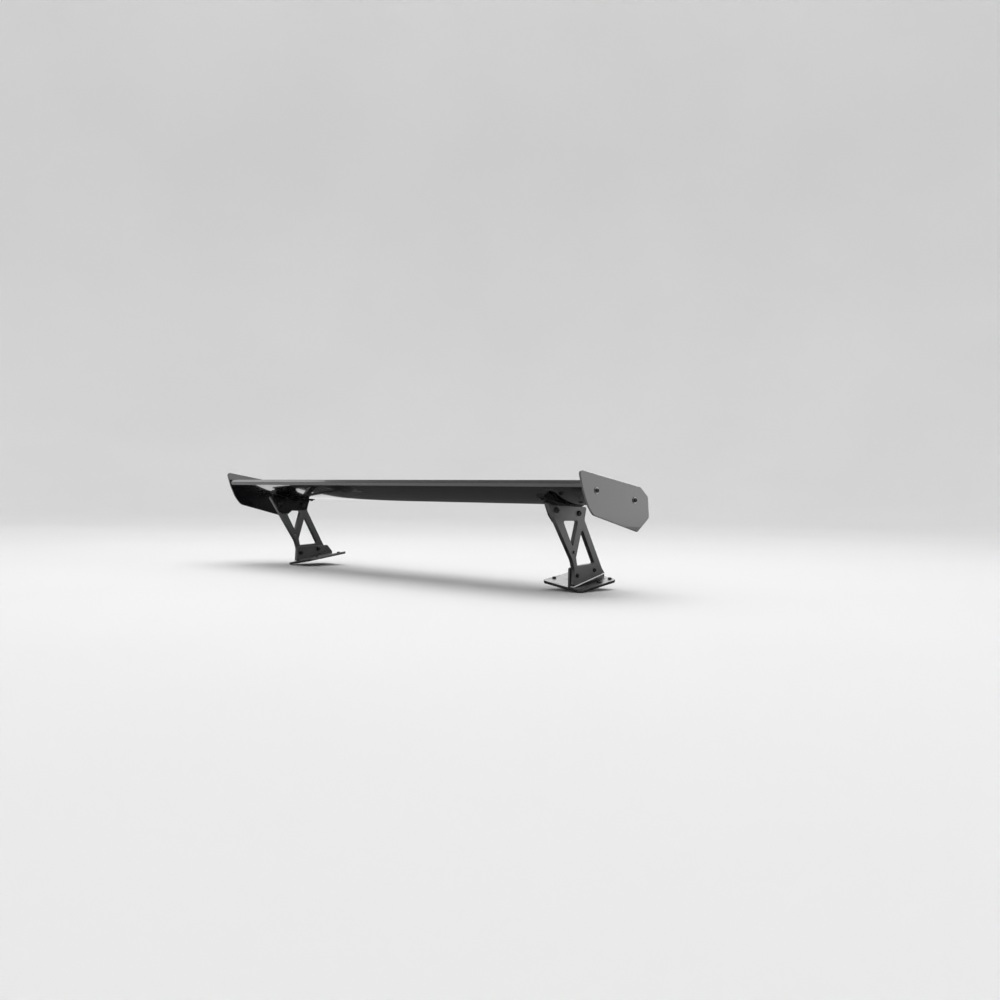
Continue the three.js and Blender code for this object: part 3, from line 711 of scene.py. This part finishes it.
def add_foot(side, powder, rubber_finish, black, alloy):
    """A sloping base plate on its pad, with a welded flange, a ledge and four bolts."""
    name = SIDE_NAME[side]
    tilted = foot_frame()

    def base(margin, thickness, edge):
        """The base plate's outline as a slab, brought in by a margin."""
        x, y = FOOT_SIZE[0] / 2 - margin, FOOT_SIZE[1] / 2 - margin
        r = FOOT_CORNER - margin
        holes = [circle(hole, clearance(M6)) for hole in FOOT_HOLES.values()]
        return slab(rounded([(-x, -y, r), (x, -y, r), (x, y, r), (-x, y, r)]), holes, thickness,
                    edge=edge, steps=3)

    plate = tilted @ Matrix.Translation((0, 0, -FOOT_PLATE))
    make_piece(f"foot_{name}_base", base(0.0, FOOT_PLATE, 0.7), plate, side, "stand", powder,
               [f"foot_{name}"])
    under = tilted @ Matrix.Translation((0, 0, -FOOT_PLATE - GAP - FOOT_PAD))
    make_piece(f"foot_{name}_pad", base(PAD_INSET, FOOT_PAD, 0.3), under, side, "stand",
               rubber_finish, [f"foot_pad_{name}"])

    inner = span("upright_right")[0] - GAP - FOOT_FLANGE
    slope = math.tan(math.radians(FOOT_REARWARD))
    fall = math.tan(math.radians(FOOT_OUTWARD)) / math.cos(math.radians(FOOT_REARWARD))

    def surface(y, x):
        """The height of the base plate's top at a place."""
        return FOOT_CENTRE[2] + slope * (y - FOOT_CENTRE[1]) - fall * (x - FOOT_CENTRE[0])

    low_side = inner + FOOT_FLANGE
    wall = rounded([(FLANGE_REAR, -216, 6),
                    (FLANGE_REAR, surface(FLANGE_REAR, low_side) - FLANGE_SUNK, 0),
                    (FLANGE_FRONT, surface(FLANGE_FRONT, low_side) - FLANGE_SUNK, 0),
                    (FLANGE_FRONT, -235, 5), (272, -213.5, 8)])
    holes = [circle(hole, clearance(M6)) for hole in (LOWER_REAR, LOWER_FRONT)]
    make_piece(f"foot_{name}_flange", slab(wall, holes, FOOT_FLANGE, edge=0.7, steps=3), to_yz(inner),
               side, "stand", powder)
    rear, front = (Vector(corner[:2]) for corner in UPRIGHT_OUTLINE[5:7])
    drop, deep = Vector((0, -GAP)), Vector((0, -GAP - LEDGE))
    ledge = [rear + drop, front + drop, front + deep, rear + deep]
    make_piece(f"foot_{name}_ledge", slab(ledge, [], LEDGE_OUTER - inner, edge=0.8, steps=4),
               to_yz(inner), side, "stand", alloy)
    for offset, label in ((-0.5, "inner"), (FOOT_FLANGE + 0.5, "outer")):
        x = inner + offset
        ends = [Vector((y, surface(y, x) + 0.6)) for y in (FLANGE_REAR + 2, FLANGE_FRONT - 2)]
        path = [Vector((p.x, p.y, 0)) for p in resample(ends, 1.7)]
        weld_bead(f"foot_weld_{label}_{name}", path, 2.4, to_yz(x), side, "stand", powder)
    depth = FOOT_PLATE + GAP + FOOT_PAD
    for place, (x, y) in FOOT_HOLES.items():
        head = turned(screw_rings(M6, depth + GAP - BOLT_SHORT))
        make_piece(f"foot_{name}_bolt_{place}", head,
                   tilted @ Matrix.Translation((x, y, GAP)), side, "stand", black,
                   [f"foot_bolt_{name}_{place}"])


# ------------------------------------------------------------------ studio
DISC_RADIUS, FLOOR_RADIUS, COVE_RADIUS, WALL_TOP = 0.6, 6.0, 4.5, 11.0  # metres
FLOOR_SIDES, COVE_STEPS = 96, 16
SURROUND, OVERHEAD = 1.1, 1.3  # brightness of the world and of the softbox


def stage_mesh(name, bm, material):
    """Turns a bmesh in metres into part of the studio, which is not part of the object."""
    for face in bm.faces:
        face.smooth = True
    mesh = bpy.data.meshes.new(name)
    bm.to_mesh(mesh)
    bm.free()
    mesh.materials.append(material)
    thing = bpy.data.objects.new(name, mesh)
    bpy.context.scene.collection.objects.link(thing)
    return thing


def add_floor():
    """A pale floor that sweeps up all round, so that no horizon shows."""
    material, tree, shader = new_material("studio_floor", (0.8, 0.8, 0.8), 0.9, level=0.0)
    tree.links.new(tint(tree, noise(tree, 0.6, 2.0), (0.79, 0.79, 0.79), (0.81, 0.81, 0.81)),
                   shader.inputs["Base Color"])
    bm = bmesh.new()
    profile = [(DISC_RADIUS, 0.0), (FLOOR_RADIUS, 0.0)]
    profile += [(FLOOR_RADIUS + COVE_RADIUS * math.sin(a), COVE_RADIUS * (1 - math.cos(a)))
                for a in (math.pi / 2 * k / COVE_STEPS for k in range(1, COVE_STEPS + 1))]
    profile.append((FLOOR_RADIUS + COVE_RADIUS, WALL_TOP))
    rings = [[bm.verts.new((r * math.cos(a), r * math.sin(a), z))
              for a in (2 * math.pi * i / FLOOR_SIDES for i in range(FLOOR_SIDES))]
             for r, z in profile]
    bm.faces.new(rings[0])
    for low, high in zip(rings, rings[1:]):
        for i in range(FLOOR_SIDES):
            j = (i + 1) % FLOOR_SIDES
            bm.faces.new((low[i], high[i], high[j], low[j]))
    stage_mesh("studio_floor", bm, material)


def reflected_panel(name, rows, brightness):
    """An evenly lit panel, or a flag when it is dark, that shows in reflections only."""
    material = bpy.data.materials.new(name)
    material.use_nodes = True
    tree = material.node_tree
    tree.nodes.clear()
    glow = tree.nodes.new("ShaderNodeEmission")
    glow.inputs["Strength"].default_value = brightness
    out = tree.nodes.new("ShaderNodeOutputMaterial")
    tree.links.new(glow.outputs["Emission"], out.inputs["Surface"])
    bm = bmesh.new()
    low, high = ([bm.verts.new(p) for p in row] for row in rows)
    for k in range(len(low) - 1):
        bm.faces.new((low[k], high[k], high[k + 1], low[k + 1]))
    panel = stage_mesh(name, bm, material)
    panel.visible_camera = False
    panel.visible_diffuse = False
    panel.visible_shadow = False
    panel.visible_transmission = False
    panel.visible_volume_scatter = False


def upright_panel(name, middle, along, half_width, heights, brightness):
    """A vertical rectangular panel; places are metres in the row frame."""
    ends = [Vector(middle) - Vector(along) * half_width, Vector(middle) + Vector(along) * half_width]
    reflected_panel(name, [[(*end, z) for end in ends] for z in heights], brightness)


def add_panels():
    """A dark flag under the wing and ahead of it, and three plain panels around it."""
    flag = [(-0.12, 0.004), (0.3, 0.004), (0.6, 0.09), (0.95, 0.268)]
    reflected_panel("dark_flag", [[(x, y, z) for y, z in flag] for x in (-0.9, 0.82)], 0.05)
    upright_panel("right_panel", (3.45, 3.6), (0.8, -0.6), 1.9, (0.0, 2.4), 1.7)
    upright_panel("front_panel", (-1.5, 2.6), (1.0, 0.0), 1.9, (1.0, 2.6), 3.4)
    upright_panel("rear_panel", (-4.95, -2.6), (1.0, 0.0), 0.95, (0.9, 2.4), 2.2)


def add_softbox(name, place, target, size, brightness):
    """A rectangular soft light; places are metres in the row frame."""
    light = bpy.data.lights.new(name, "AREA")
    light.shape = "RECTANGLE"
    light.size, light.size_y = size
    light.energy = brightness * math.pi * size[0] * size[1]
    lamp = bpy.data.objects.new(name, light)
    aim = Vector(target) - Vector(place)
    lamp.matrix_world = Matrix.Translation(place) @ aim.to_track_quat("-Z", "Y").to_matrix().to_4x4()
    lamp.visible_camera = False
    bpy.context.scene.collection.objects.link(lamp)


def light_studio():
    """An even white surround, and one large softbox above the wing."""
    world = bpy.data.worlds.new("studio")
    world.use_nodes = True
    world.node_tree.nodes["Background"].inputs["Color"].default_value = (1.0, 1.0, 1.0, 1.0)
    world.node_tree.nodes["Background"].inputs["Strength"].default_value = SURROUND
    bpy.context.scene.world = world
    add_softbox("overhead", (0.0, 0.2, 3.4), (0.0, 0.0, 0.25), (4.0, 3.0), OVERHEAD)
    bpy.context.scene.view_settings.view_transform = "Standard"


# ------------------------------------------------------------------ everything
def main():
    add_camera()
    # The bracket finish, used for the saddles, blades and their welds, is darkened with painted
    # shade.
    gloss, powder, shaded_bracket_paint = gloss_black(), powder_black(), bracket_black()
    black, washers, pads = black_fastener(), zinc(), rubber()
    alloy = drawn_aluminium()
    add_skins(gloss)
    for side in (RIGHT, LEFT):
        add_endplate(side, gloss, black, washers)
        add_bracket(side, shaded_bracket_paint, black)
        add_upright(side, powder, black)
        add_foot(side, powder, pads, black, alloy)
    inner = {"main_spar": alloy}
    ribs = nylon()
    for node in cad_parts:
        if node.startswith(("end_rib", "mount_rib")):
            inner[node] = ribs
    for node, finish in inner.items():
        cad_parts[node].data.materials.clear()
        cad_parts[node].data.materials.append(finish["material"])
    add_floor()
    add_panels()
    light_studio()


main()
